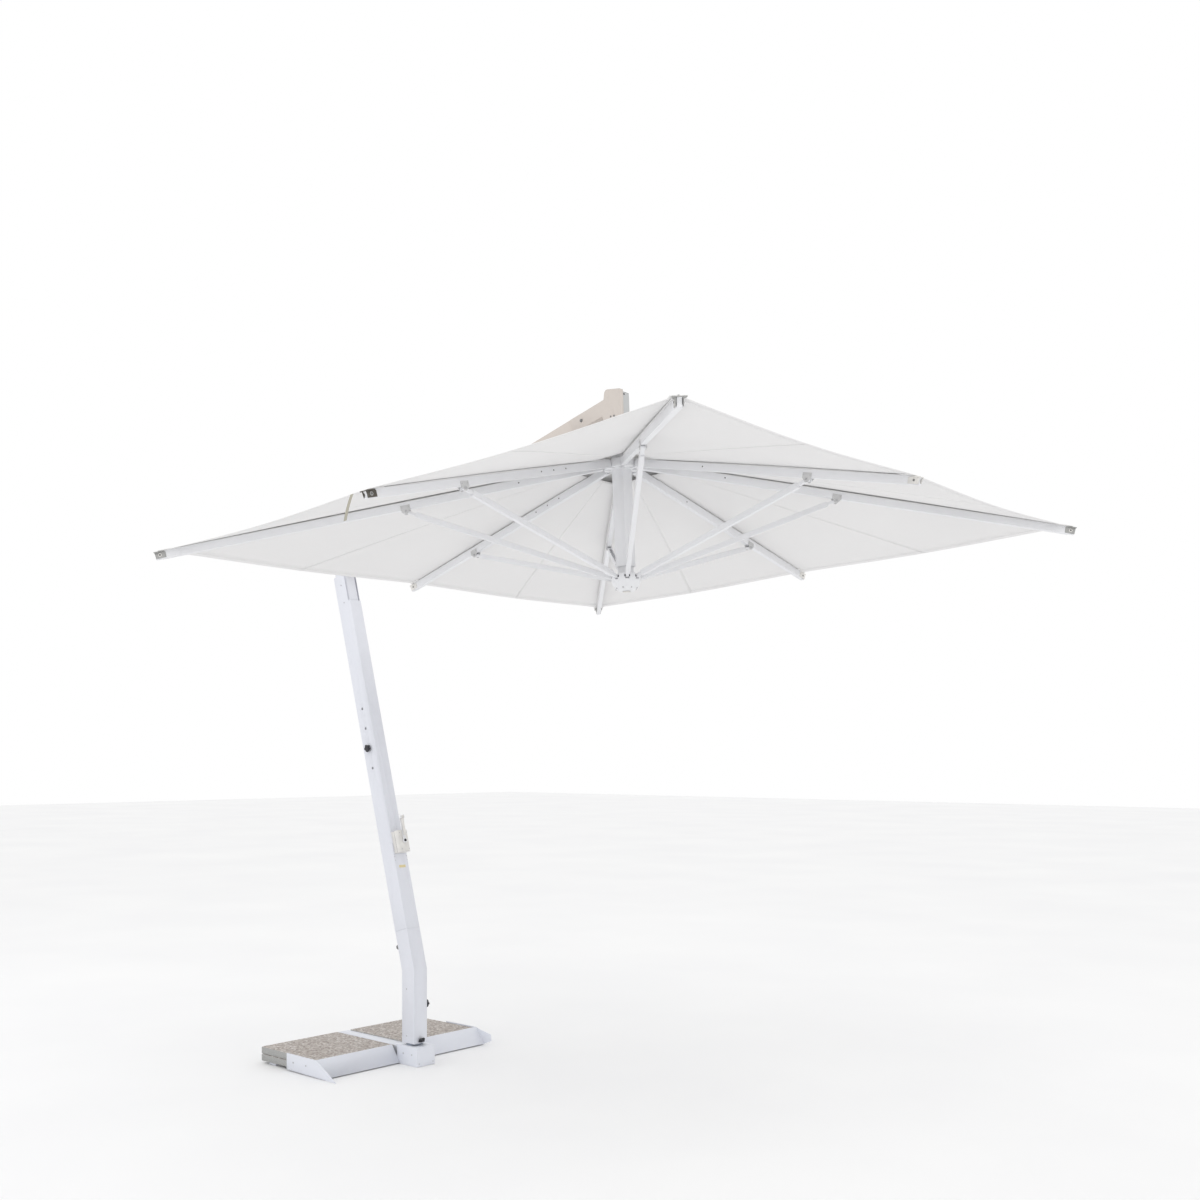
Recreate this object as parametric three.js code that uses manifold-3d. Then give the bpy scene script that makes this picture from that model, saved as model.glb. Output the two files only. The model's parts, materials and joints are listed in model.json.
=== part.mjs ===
// A square cantilever parasol, 3 m by 3 m, on a slab-weighted base.
// Millimetres, +Z up. The origin is on the floor under the swivel axis, and +X points to the canopy.
import * as THREE from "three";
import { mergeVertices } from "three/addons/utils/BufferGeometryUtils.js";
import Module from "manifold-3d";

const wasm = await Module();
wasm.setup();

// Driving dimensions.
const GAP = 0.3; // between pieces that touch
const DEG = Math.PI / 180;

const SLAB = { side: 500, thick: 38, front: -113.6, inner: 43.9, bottom: 12.2 };
const SKIRT = { sheet: 2.6, lip: 118, foot: -46, outerY: 552, plateBack: -368, top: 91.8 };
const FRAME = { back: -622, front: -70.4, halfWidth: 40, height: 84, bar: 60, barThick: 11.6, reach: 530 };
const SOCKET = { back: -70, front: 94.2, halfWidth: 61.2, height: 100.8, wall: 3, floor: 6 };
const SPIGOT = { radius: 30, bore: 24, top: 430 };

const MAST = { depth: 99.6, width: 89, wall: 3.5, foot: 112, kink: 499, lean: 15.5 * DEG };
// Places along the leaning mast, measured from the kink.
const ALONG = { footTop: 218, clamp: 136, crank: 685, knob: 1230, slot: 2080, top: 2240 };
const CHAMFER = { depth: 24, width: 7 };
const HOLE_PITCH = 113;
const INNER = { depth: 80, width: 74, wall: 3, chamferDepth: 11.5, chamferWidth: 7.7, bottom: 950, top: 2330 };
const ARM = { width: 66, height: 76, wall: 3, top: 2321, end: 2078 };
const CRANK = { front: 103, halfWidth: 37, halfLength: 59, armReach: 130, gripLength: 104 };
const HEAD = { frontLow: 1489, frontTop: 1479, back: 1381, top: 3332, noseTop: 3323, bottom: 3130 };
const CHEEK = { sheet: 4, corner: 18, flange: 24, farFront: 1466, farTop: 3290 };
const CLAMP = { y: -27, radius: 13, stand: 8, head: 12 }; // the screw behind the foot's tube
const KNOB_BOSS = { x: 8, z: 310, length: 18 }; // the lug on the mast's foot that the swivel knob's screw is in

const HUB = new THREE.Vector3(1460, 0, 2978); // the middle of the ring of rib hinges
const TILT = 3 * DEG; // the pole leans so that the outer edge of the canopy is higher
const POLE = { side: 65, wall: 3, top: 334, bottom: -470, pulley: 225 };
const HINGE_RADIUS = 62; // of the rib hinges and of the strut pins
const EDGE = { half: 1500, drop: 364 }; // rib tips, from the pole's axis and below the hinges
const RIB = { width: 22, height: 34, wall: 3, start: 28, pivotDrop: 24 };
const STRUT = { width: 20, height: 24, wall: 2.5, neck: 46 };
const PIVOT_AT = { mid: 967, corner: 949 }; // along the rib, from its hinge to its strut
const RUNNER_DROP = 520.9; // from the rib hinges to the strut pins on the runner
const CLOTH = { thick: 1.6, lift: 21, edge: 1478, vent: 205, capOuter: 330, capInner: 76, capLift: 30 };

const PAINT_WHITE = { color: 0xe6e6ea, roughness: 0.45, metalness: 0.1 };
const PAINT_WARM = { color: 0xd9d2c8, roughness: 0.5, metalness: 0.1 };
const BARE_METAL = { color: 0xb4b6b8, roughness: 0.4, metalness: 0.9 };
const BLACK_PLASTIC = { color: 0x2b2b30, roughness: 0.55, metalness: 0 };
const WHITE_PLASTIC = { color: 0xe2e2e0, roughness: 0.5, metalness: 0 };
const STONE = { color: 0xb9afa6, roughness: 0.95, metalness: 0 };
const FABRIC = { color: 0xe8e6e2, roughness: 0.9, metalness: 0 };

// ---------------------------------------------------------------- solids

function solid(geometry) {
  geometry.deleteAttribute("normal");
  geometry.deleteAttribute("uv");
  const merged = mergeVertices(geometry, 1e-4);
  const vertProperties = new Float32Array(merged.attributes.position.array);
  const triVerts = new Uint32Array(merged.index.array);
  return new wasm.Manifold(new wasm.Mesh({ numProp: 3, vertProperties, triVerts }));
}

function geometryOf(shape) {
  const { vertProperties, triVerts } = shape.getMesh();
  const geometry = new THREE.BufferGeometry();
  geometry.setAttribute("position", new THREE.BufferAttribute(new Float32Array(vertProperties), 3));
  geometry.setIndex(new THREE.BufferAttribute(new Uint32Array(triVerts), 1));
  geometry.computeVertexNormals();
  return geometry;
}

const join = (first, ...rest) => rest.reduce((sum, shape) => sum.add(shape), first);
const cut = (first, ...rest) => rest.reduce((left, shape) => left.subtract(shape), first);

function box(x0, x1, y0, y1, z0, z1) {
  const geometry = new THREE.BoxGeometry(x1 - x0, y1 - y0, z1 - z0);
  return solid(geometry.translate((x0 + x1) / 2, (y0 + y1) / 2, (z0 + z1) / 2));
}

const outline = (points) => new THREE.Shape(points.map(([x, y]) => new THREE.Vector2(x, y)));

// An outline in the XY plane, extruded up from z0 to z1.
function column(points, z0, z1) {
  const geometry = new THREE.ExtrudeGeometry(outline(points), { depth: z1 - z0, bevelEnabled: false });
  return solid(geometry.translate(0, 0, z0));
}

// An outline in the XZ plane, extruded across from y0 to y1.
function slice(points, y0, y1) {
  const geometry = new THREE.ExtrudeGeometry(outline(points), { depth: y1 - y0, bevelEnabled: false });
  return solid(geometry.rotateX(Math.PI / 2).translate(0, y1, 0));
}

// A round bar between two points on one axis; axis is "x", "y" or "z".
function bar(axis, radius, from, to, at = [0, 0], sides = 16) {
  const geometry = new THREE.CylinderGeometry(radius, radius, to - from, sides);
  geometry.translate(0, (from + to) / 2, 0);
  if (axis === "x") geometry.rotateZ(-Math.PI / 2).translate(0, at[0], at[1]);
  if (axis === "y") geometry.translate(at[0], 0, at[1]);
  if (axis === "z") geometry.rotateX(Math.PI / 2).translate(at[0], at[1], 0);
  return solid(geometry);
}

// A solid of revolution about Z from [radius, height] points that go round anticlockwise.
function turned(profile, sides) {
  const closed = [...profile, profile[0]].map(([r, z]) => new THREE.Vector2(r, z));
  return solid(new THREE.LatheGeometry(closed, sides).rotateX(Math.PI / 2));
}

// Straight rectangular tube along Z, open at both ends.
function tube(depth, width, wall, z0, z1) {
  const outer = box(-depth / 2, depth / 2, -width / 2, width / 2, z0, z1);
  const bore = box(wall - depth / 2, depth / 2 - wall, wall - width / 2, width / 2 - wall, z0 - 1, z1 + 1);
  return cut(outer, bore);
}

// Channel along X with its open side towards +Z (side 1) or -Z (side -1).
function channel({ width, height, wall }, x0, x1, side) {
  const outer = box(x0, x1, -width / 2, width / 2, -height / 2, height / 2);
  const floor = side * (wall - height / 2);
  const mouth = side * (height / 2 + 1);
  const low = Math.min(floor, mouth);
  const high = Math.max(floor, mouth);
  return cut(outer, box(x0 - 1, x1 + 1, wall - width / 2, width / 2 - wall, low, high));
}

function part(name, shape, finish) {
  const mesh = new THREE.Mesh(geometryOf(shape), new THREE.MeshStandardMaterial(finish));
  mesh.name = name;
  return mesh;
}

// ---------------------------------------------------------------- base

function baseFrame() {
  const { back, front, halfWidth, height, bar: barWidth, barThick, reach } = FRAME;
  const beam = box(back, front, -halfWidth, halfWidth, 0, height);
  const hollow = box(back - 1, front + 1, 3 - halfWidth, halfWidth - 3, 3, height - 3);
  const crossbars = [-200, -530].map((x) => box(x - barWidth / 2, x + barWidth / 2, -reach, reach, 0, barThick));
  return join(cut(beam, hollow), ...crossbars);
}

function socketBox() {
  const { back, front, halfWidth, height, wall, floor } = SOCKET;
  const shell = box(back, front, -halfWidth, halfWidth, 0, height);
  const room = box(back - 1, front - wall, wall - halfWidth, halfWidth - wall, floor, height - wall);
  return cut(shell, room, bar("z", SPIGOT.radius + GAP, height - 10, height + 10, [0, 0], 32));
}

const spigot = () =>
  turned(
    [
      [SPIGOT.bore, SOCKET.floor + GAP],
      [SPIGOT.radius, SOCKET.floor + GAP],
      [SPIGOT.radius, SPIGOT.top],
      [SPIGOT.bore, SPIGOT.top],
    ],
    32,
  );

function slab(side, layer) {
  const low = SLAB.bottom + layer * (SLAB.thick + GAP);
  const inner = side * SLAB.inner;
  const outer = side * (SLAB.inner + SLAB.side);
  return box(SLAB.front - SLAB.side, SLAB.front, Math.min(inner, outer), Math.max(inner, outer), low, low + SLAB.thick);
}

// A sloping front sheet with a lip over the slab, and an end plate with a pointed or a blunt nose.
function skirt(side) {
  const { sheet, lip, foot, outerY, plateBack, top } = SKIRT;
  const crest = SLAB.front + 2.8;
  const front = [
    [-lip, top - sheet],
    [crest - 1.5, top - sheet],
    [foot - sheet * 1.3, 5],
    [foot, 5],
    [crest, top],
    [-lip, top],
  ];
  const nose = side < 0 ? [[53, 0.4]] : [[-90, 84], [8, 65], [15, 30], [-50, 3]];
  const plate = [[plateBack, 6], ...nose.toReversed(), [SLAB.front, top], [plateBack, top]];
  const near = side < 0 ? -outerY : SOCKET.halfWidth + GAP;
  const far = side < 0 ? -SOCKET.halfWidth - GAP : outerY;
  const plateFrom = side < 0 ? -outerY - sheet : outerY - 0.5;
  return join(slice(front, near, far), slice(plate, plateFrom, plateFrom + sheet + 0.5));
}

// ---------------------------------------------------------------- mast

// The bent outline of the foot in the XZ plane, for a tube of the given half depth.
function footOutline(half, low, high) {
  const mitre = half * Math.tan(MAST.lean / 2);
  const lean = (x, z) => [
    x * Math.cos(MAST.lean) - z * Math.sin(MAST.lean),
    MAST.kink + x * Math.sin(MAST.lean) + z * Math.cos(MAST.lean),
  ];
  return [[-half, low], [half, low], [half, MAST.kink + mitre], lean(half, high), lean(-half, high), [-half, MAST.kink - mitre]];
}

function mastFoot() {
  const { depth, width, wall, foot } = MAST;
  const outer = slice(footOutline(depth / 2, foot, ALONG.footTop), -width / 2, width / 2);
  const inner = footOutline(depth / 2 - wall, foot - 1, ALONG.footTop + 1);
  const bore = slice(inner, wall - width / 2, width / 2 - wall);
  const screwHole = bar("x", 5, -60, -30, [CLAMP.y, ALONG.clamp]).rotate([0, -MAST.lean / DEG, 0]);
  const at = [KNOB_BOSS.x, KNOB_BOSS.z];
  const boss = bar("y", 13, width / 2 - wall / 2, width / 2 + KNOB_BOSS.length, at, 24);
  const knobHole = bar("y", 5, 30, width / 2 + KNOB_BOSS.length + 1, at);
  return cut(join(cut(outer, bore), boss), knobHole, screwHole.translate([0, 0, MAST.kink]));
}

// Square-cornered up to the crank, with chamfered front corners above it, and open in front at the top.
function mastColumn() {
  const x = MAST.depth / 2;
  const y = MAST.width / 2;
  const { depth, width } = CHAMFER;
  const section = [[-x, -y], [x - depth, -y], [x, width - y], [x, y - width], [x - depth, y], [-x, y]];
  const lower = box(-x, x, -y, y, ALONG.footTop + GAP, ALONG.crank);
  const upper = column(section, ALONG.crank, ALONG.top);
  const room = MAST.wall;
  const inner = [
    [room - x, room - y],
    [x - depth - 1, room - y],
    [x - room, width - y + 2],
    [x - room, y - width - 2],
    [x - depth - 1, y - room],
    [room - x, y - room],
  ];
  const square = box(room - x, x - room, room - y, y - room, ALONG.footTop - 1, ALONG.crank - 20);
  const bore = join(square, column(inner, ALONG.crank - 21, ALONG.top + 1));
  const slot = box(x - depth - 1, x + 1, 4 - y, y - 4, ALONG.slot, ALONG.top + 1);
  const holes = [-1, 0, 1, 2].map((n) => bar("y", 5, -y - 5, -y + 5, [0, ALONG.knob + n * HOLE_PITCH], 12));
  return cut(join(lower, upper), bore, slot, bar("x", 8, 40, 60, [0, ALONG.crank]), ...holes);
}

const jointSleeve = () =>
  cut(
    tube(MAST.depth - 2 * MAST.wall - 2 * GAP, MAST.width - 2 * MAST.wall - 2 * GAP, 3, 110, 330),
    bar("x", 5, -60, -30, [CLAMP.y, ALONG.clamp]),
  );

function swivelBush(z0, z1) {
  const x = MAST.depth / 2 - MAST.wall - GAP;
  const y = MAST.width / 2 - MAST.wall - GAP;
  return cut(box(-x, x, -y, y, z0, z1), bar("z", SPIGOT.radius + GAP, z0 - 1, z1 + 1, [0, 0], 32));
}

const swivelRing = () =>
  turned(
    [
      [SPIGOT.radius + GAP, SOCKET.height + GAP],
      [43, SOCKET.height + GAP],
      [43, MAST.foot - GAP],
      [SPIGOT.radius + GAP, MAST.foot - GAP],
    ],
    32,
  );

// A liner on three sides of the mast's mouth, which the inner mast slides in.
function guideBush() {
  const x = MAST.depth / 2 - MAST.wall - GAP;
  const y = MAST.width / 2 - MAST.wall - GAP;
  const block = box(-x, x - CHAMFER.depth, -y, y, ALONG.slot - 20, ALONG.top - 25);
  return cut(block, box(-INNER.depth / 2 - 0.5, x, -INNER.width / 2 - 0.5, INNER.width / 2 + 0.5, 0, 3000));
}

// The thumb screw that clamps the foot's tube on the joint sleeve, from behind.
function clampScrew() {
  const { y, radius, stand, head } = CLAMP;
  const wall = MAST.depth / 2;
  const at = [y, ALONG.clamp];
  const grip = bar("x", radius, -wall - stand - head, -wall - stand, at, 24);
  const collar = bar("x", 7, -wall - stand - 1, -wall - GAP, at, 16);
  return join(grip, collar, bar("x", 3.5, -wall - 1, -wall + 10, at, 12));
}

// A lobed clamping knob with its screw; the screw points along +Y from the head.
function knob(radius, reach) {
  const lobes = 5;
  const steps = lobes * 10;
  const rim = Array.from({ length: steps }, (_, i) => {
    const angle = (2 * Math.PI * i) / steps;
    const r = radius * (0.88 + 0.12 * Math.cos(lobes * angle));
    return [r * Math.cos(angle), r * Math.sin(angle)];
  });
  return join(slice(rim, -16, 0), bar("y", 10, -1, 5, [0, 0], 16), bar("y", 4, 0, reach, [0, 0], 12));
}

// The release pedal: a wedge that tips outwards about its lower back edge.
const pedal = () =>
  slice(
    [
      [0, 0],
      [14, 2],
      [19, 20],
      [12, 24],
      [0, 12],
    ],
    -15,
    15,
  );

// ---------------------------------------------------------------- winch

function crankHousing() {
  const back = MAST.depth / 2 + GAP;
  const { front, halfWidth: y, halfLength } = CRANK;
  const round = 16;
  const arc = (sign) =>
    [0, 1, 2, 3, 4].map((i) => {
      const angle = (i * Math.PI) / 8;
      return [front - round + round * Math.sin(angle), sign * (y - round + round * Math.cos(angle))];
    });
  const section = [[back, -y], ...arc(-1), ...arc(1).toReversed(), [back, y]];
  const shell = column(section, ALONG.crank - halfLength, ALONG.crank + halfLength);
  const low = ALONG.crank - halfLength + 3;
  const room = box(back - 1, front - 8, 3 - y, y - 3, low, ALONG.crank + halfLength - 3);
  return cut(shell, room, bar("x", 8, front - 12, front + 2, [0, ALONG.crank]));
}

const shaft = () => bar("x", 6, -30, CRANK.front + 8, [0, ALONG.crank], 16);

function drum() {
  const spool = turned([[6.4, -22], [26, -22], [26, -19], [17, -17], [17, 17], [26, 19], [26, 22], [6.4, 22]], 24);
  return spool.rotate([0, 90, 0]).translate([0, 0, ALONG.crank]);
}

function crankArm() {
  const x = CRANK.front + 1;
  const top = ALONG.crank + CRANK.armReach;
  const blade = box(x, x + 5, -8, 8, ALONG.crank, top + 9);
  const boss = bar("x", 13, x, x + 7, [0, ALONG.crank], 20);
  const ears = [-1, 1].map((side) => box(x, x + 21, side * 9.7 - 1.3, side * 9.7 + 1.3, top - 9, top + 9));
  const web = box(x, x + 5, -11, 11, top - 9, top + 9);
  const holes = [bar("x", 6.4, x - 2, x + 9, [0, ALONG.crank]), bar("y", 3.5, -20, 20, [x + 14, top], 12)];
  return cut(join(blade, boss, web, ...ears), ...holes);
}

// The folding grip, lying along the arm; its pin is in the arm's two ears.
function crankGrip() {
  const x = CRANK.front + 15;
  const top = ALONG.crank + CRANK.armReach;
  const eye = join(bar("y", 7, -8, 8, [x, top], 12), bar("y", 3, -11, 11, [x, top], 12));
  const low = top - CRANK.gripLength;
  const sleeve = turned([[0, low], [6.5, low], [8, low + 4], [6.5, low + 50], [7.5, top - 12], [6, top - 5], [0, top - 5]], 16);
  return join(eye, sleeve.translate([x, 0, 0]));
}

// ---------------------------------------------------------------- inner mast, arm and head

// The inner mast's section, set in from its outside by inset, with the mast's chamfered front corners.
function innerSection(inset) {
  const x = INNER.depth / 2 - inset;
  const y = INNER.width / 2 - inset;
  const { chamferDepth, chamferWidth } = INNER;
  const chamfers = [[x, chamferWidth - y], [x, y - chamferWidth], [x - chamferDepth, y]];
  return [[-x, -y], [x - chamferDepth, -y], ...chamfers, [-x, y]];
}

function innerMast() {
  const { wall, bottom, top } = INNER;
  const rope = box(30, 45, -14, 14, ARM.top - ARM.height + 12, ARM.top - 12);
  const bore = column(innerSection(wall), bottom - 1, top + 1);
  return cut(column(innerSection(0), bottom, top), bore, rope, bar("y", 4.5, -50, 50, [0, 2283], 12));
}

function slideShoe() {
  const x = MAST.depth / 2 - MAST.wall - 0.8;
  const y = MAST.width / 2 - MAST.wall - 0.8;
  const section = [[-x, -y], [x - CHAMFER.depth, -y], [x - 4, 18 - y], [x - 4, y - 18], [x - CHAMFER.depth, y], [-x, y]];
  return cut(column(section, INNER.bottom - 35, INNER.bottom - GAP), bar("z", 12, 900, 960));
}

const mastCap = () => box(-41, 41, -38, 38, INNER.top + GAP, INNER.top + 6);

function armBeam() {
  const { width, height, wall, top, end } = ARM;
  const low = top - height;
  const start = INNER.depth / 2 + GAP;
  const outer = slice([[start, low], [end, low], [end + 17, top], [start, top]], -width / 2, width / 2);
  const room = [[start + wall, low + wall], [end + 40, low + wall], [end + 40, top - wall], [start + wall, top - wall]];
  const rope = box(start - 1, start + 10, -14, 14, low + 12, top - 12);
  return cut(outer, slice(room, wall - width / 2, width / 2 - wall), rope);
}

const toWorld = (x, z) => [
  x * Math.cos(MAST.lean) - z * Math.sin(MAST.lean),
  MAST.kink + x * Math.sin(MAST.lean) + z * Math.cos(MAST.lean),
];

// A cheek that holds the pole on the end of the arm: a tail along the arm, and an upright block.
// The left one is folded round the pole's front, and the right one is clipped short of it.
function headPlate(side) {
  const { frontLow, frontTop, back, top, noseTop, bottom } = HEAD;
  const { sheet, corner, flange, farFront, farTop } = CHEEK;
  const tail = ARM.end - 218;
  const round = (angle) => [back + corner + 4 + corner * Math.cos(angle), top - corner + corner * Math.sin(angle)];
  const turn = [0, 1, 2, 3, 4].map((i) => (i * Math.PI) / 8 + Math.PI / 2);
  const near = [[frontLow, bottom], [frontTop, noseTop]];
  const far = [[farFront, bottom], [farFront, farTop], [farFront - 30, top - 1]];
  const points = [
    toWorld(tail, ARM.top - ARM.height + 2),
    toWorld(ARM.end - 30, ARM.top - ARM.height + 2),
    [back + 8, bottom + 40],
    [back + 20, bottom],
    ...(side < 0 ? near : far),
    ...turn.map(round),
    [back, ...toWorld(ARM.end - 10, ARM.top - 2).slice(1)],
    toWorld(tail, ARM.top - 2),
  ];
  const inner = ARM.width / 2 + GAP;
  const from = side < 0 ? -inner - sheet : inner;
  const axle = new THREE.Vector3(0, 0, POLE.pulley).applyAxisAngle(new THREE.Vector3(0, 1, 0), -TILT).add(HUB);
  const plate = cut(slice(points, from, from + sheet), bar("y", 4.6, -60, 60, [axle.x, axle.z], 12));
  const lip = [[frontLow - sheet, bottom], [frontLow, bottom], [frontTop, noseTop], [frontTop - sheet, noseTop]];
  return side < 0 ? join(plate, slice(lip, from, from + flange)) : plate;
}

function pole() {
  const { side, wall, top, bottom, pulley } = POLE;
  const rope = box(-side, -10, -8, 8, pulley + 4, pulley + 34);
  return cut(tube(side, side, wall, bottom, top), rope, bar("y", 4.6, -60, 60, [0, pulley], 12));
}

// A grooved wheel with its axle, across Y.
function pulley(radius, reach) {
  const wheel = turned([[0, -7], [radius, -7], [radius - 5, -2], [radius - 5, 2], [radius, 7], [0, 7]], 24);
  return join(wheel.rotate([90, 0, 0]), bar("y", 4, -reach, reach, [0, 0], 12));
}

// A ring on the pole with a slot and a cross hole for each rib.
function upperHub() {
  const ring = bar("z", 82, -20, 17, [0, 0], 48);
  const square = POLE.side / 2 + GAP;
  const slots = ribAngles().flatMap(({ angle }) =>
    [box(50, 90, -8, 8, -30, 30), bar("y", 4, -14, 14, [HINGE_RADIUS, 0], 12)].map((shape) =>
      shape.rotate([0, 0, angle / DEG]),
    ),
  );
  return cut(ring, box(-square, square, -square, square, -30, 30), ...slots);
}

// The lower hub: a cup that seats in the pole's end, with an open-topped seat for each strut's pin.
function runner() {
  const cup = turned([[0, -62], [34, -62], [56, -44], [68, -16], [70, 14], [44, 14], [44, -30], [0, -30]], 48);
  const core = box(-26, 26, -26, 26, -40, 82);
  const seats = ribAngles().flatMap(({ angle }) =>
    [box(46, 90, -8.5, 8.5, -12, 30), box(56, 90, -14, 14, -4.3, 30)].map((shape) => shape.rotate([0, 0, angle / DEG])),
  );
  return join(cut(cup, ...seats), core);
}

// ---------------------------------------------------------------- ribs, struts and cloth

// The eight ribs in turn, from the one over the mast round towards -Y.
function ribAngles() {
  const names = ["mast_side", "mast_left", "left", "outer_left", "outer", "outer_right", "right", "mast_right"];
  return names.map((name, i) => ({ name, angle: Math.PI + (i * Math.PI) / 4, corner: i % 2 === 1 }));
}

const ribRun = (corner) => EDGE.half * (corner ? Math.SQRT2 : 1) - HINGE_RADIUS;
const ribSlope = (corner) => Math.atan2(EDGE.drop, ribRun(corner));
const ribLength = (corner) => Math.hypot(EDGE.drop, ribRun(corner));

// Along +X from the hinge: a tongue with its pin, the channel, two ears for the strut and a tip bracket.
function rib(corner) {
  const length = ribLength(corner);
  const at = corner ? PIVOT_AT.corner : PIVOT_AT.mid;
  const low = -RIB.height / 2;
  const eye = join(bar("y", 8, -6.5, 6.5, [0, 0], 16), bar("y", 3.5, -13, 13, [0, 0], 12));
  const tongue = join(box(0, 40, -6.5, 6.5, -8, 8), box(RIB.start + 2, 60, -8.5, 8.5, low + 1, 10), eye);
  const ears = [-1, 1].map((side) => box(at - 12, at + 12, side * 9.7 - 1.3, side * 9.7 + 1.3, low - 14, low + 4));
  const tip = box(length - 55, length - 4, -8.5, 8.5, low + 1, 12);
  const notch = bar("y", 14, -10, 10, [length + 3, 0], 20);
  const body = join(channel(RIB, RIB.start, length - 30, 1), tongue, ...ears, cut(tip, notch));
  return cut(body, bar("y", 3.6, -20, 20, [at, -RIB.pivotDrop], 12));
}

// The strut's two ends, [along, height], in the plane of its rib with the pole at 0.
function strutEnds(corner) {
  const slope = ribSlope(corner);
  const at = corner ? PIVOT_AT.corner : PIVOT_AT.mid;
  const along = HINGE_RADIUS + at * Math.cos(slope) - RIB.pivotDrop * Math.sin(slope);
  const height = -at * Math.sin(slope) - RIB.pivotDrop * Math.cos(slope);
  return { top: [along, height], bottom: [HINGE_RADIUS, -RUNNER_DROP] };
}

function strut(length) {
  const neck = STRUT.neck;
  const high = STRUT.height / 2 - 1;
  const root = (from, to) => box(from, to, -8.5, 8.5, -7, high);
  const upper = join(box(0, neck + 4, -8, 8, -6, 6), bar("y", 6.3, -8, 8, [0, 0], 16), bar("y", 3, -11, 11, [0, 0], 12));
  const tongue = box(length - neck, length, -7, 7, -7, 7);
  const lower = join(tongue, bar("y", 7, -7, 7, [length, 0], 16), bar("y", 3.5, -13, 13, [length, 0], 12));
  const body = channel(STRUT, neck, length - 36, -1);
  return join(body, upper, lower, root(neck + 2, neck + 12), root(length - neck - 4, length - 38));
}

// Height of the cloth's underside over a point of the canopy's plan.
function clothHeight(x, y) {
  const slope = EDGE.drop / (EDGE.half - HINGE_RADIUS);
  return CLOTH.lift - slope * (Math.max(Math.abs(x), Math.abs(y)) - HINGE_RADIUS);
}

// A sheet over flat four-sided patches of the plan, given as corners that go round anticlockwise.
function sheet(patches, lift, thick) {
  const solids = patches.map((patch) => {
    const flat = column(patch, 0, thick);
    return flat.warp((vertex) => {
      vertex[2] += clothHeight(vertex[0], vertex[1]) + lift;
    });
  });
  return join(...solids);
}

// The cloth that one rib carries, halfway to its neighbours: a panel, its share of the vent cap, and a tab.
function cloth(corner) {
  const seam = 0.25;
  const mirror = corner ? ([x, y]) => [y, x] : ([x, y]) => [x, -y];
  const withMirror = (patch) => [patch, patch.map(mirror).toReversed()];
  const half = (from, to) =>
    corner
      ? [[from, from / 2 + seam], [to, to / 2 + seam], [to, to], [from, from]]
      : [[from, 0], [to, 0], [to, to / 2 - seam], [from, from / 2 - seam]];
  const halfTab = corner ? [[215, 195], [240, 220], [240, 240], [215, 215]] : [[225, 0], [250, 0], [250, 15], [225, 15]];
  const panel = sheet(withMirror(half(CLOTH.vent, CLOTH.edge)), 0, CLOTH.thick);
  const cap = sheet(withMirror(half(CLOTH.capInner, CLOTH.capOuter)), CLOTH.capLift, CLOTH.thick);
  const tab = sheet(withMirror(halfTab), CLOTH.thick / 2, CLOTH.capLift);
  return join(panel, cap, tab).rotate([0, 0, corner ? -45 : 0]);
}

// ---------------------------------------------------------------- assembly

function placed(object, x, y, z, turn = 0) {
  object.position.set(x, y, z);
  object.rotation.y = turn;
  return object;
}

function base() {
  const group = new THREE.Group();
  group.add(part("base_frame", baseFrame(), PAINT_WHITE));
  group.add(part("socket_box", socketBox(), PAINT_WHITE));
  group.add(part("swivel_spigot", spigot(), BARE_METAL));
  for (const [name, side] of [["left", -1], ["right", 1]]) {
    group.add(part(`slab_${name}_lower`, slab(side, 0), STONE));
    group.add(part(`slab_${name}_upper`, slab(side, 1), STONE));
    group.add(part(`skirt_${name}`, skirt(side), PAINT_WHITE));
  }
  return group;
}

function mast() {
  const group = new THREE.Group();
  group.add(part("mast_foot", mastFoot(), PAINT_WHITE));
  group.add(part("swivel_ring", swivelRing(), BLACK_PLASTIC));
  group.add(part("swivel_bush_lower", swivelBush(114, 154), BLACK_PLASTIC));
  group.add(part("swivel_bush_upper", swivelBush(380, 420), BLACK_PLASTIC));
  group.add(placed(part("lock_pedal", pedal(), BLACK_PLASTIC), MAST.depth / 2 + 0.6, 0, 118));
  const swivelKnob = part("swivel_lock_knob", knob(21, 19 + KNOB_BOSS.length).rotate([0, 0, 180]), BLACK_PLASTIC);
  group.add(placed(swivelKnob, KNOB_BOSS.x, MAST.width / 2 + KNOB_BOSS.length + 6, KNOB_BOSS.z));
  const leaning = placed(new THREE.Group(), 0, 0, MAST.kink, -MAST.lean);
  leaning.add(part("mast_joint_sleeve", jointSleeve(), BARE_METAL));
  leaning.add(part("mast_column", mastColumn(), PAINT_WHITE));
  leaning.add(part("mast_clamp_screw", clampScrew(), BARE_METAL));
  leaning.add(part("guide_bush", guideBush(), WHITE_PLASTIC));
  leaning.add(placed(part("height_lock_knob", knob(20, 13), BLACK_PLASTIC), 0, -MAST.width / 2 - 6, ALONG.knob));
  leaning.add(part("crank_housing", crankHousing(), WHITE_PLASTIC));
  leaning.add(part("winch_drum", drum(), WHITE_PLASTIC));
  leaning.add(part("crank_shaft", shaft(), BARE_METAL));
  leaning.add(part("crank_arm", crankArm(), BARE_METAL));
  leaning.add(part("crank_grip", crankGrip(), WHITE_PLASTIC));
  group.add(leaning);
  return group;
}

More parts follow.
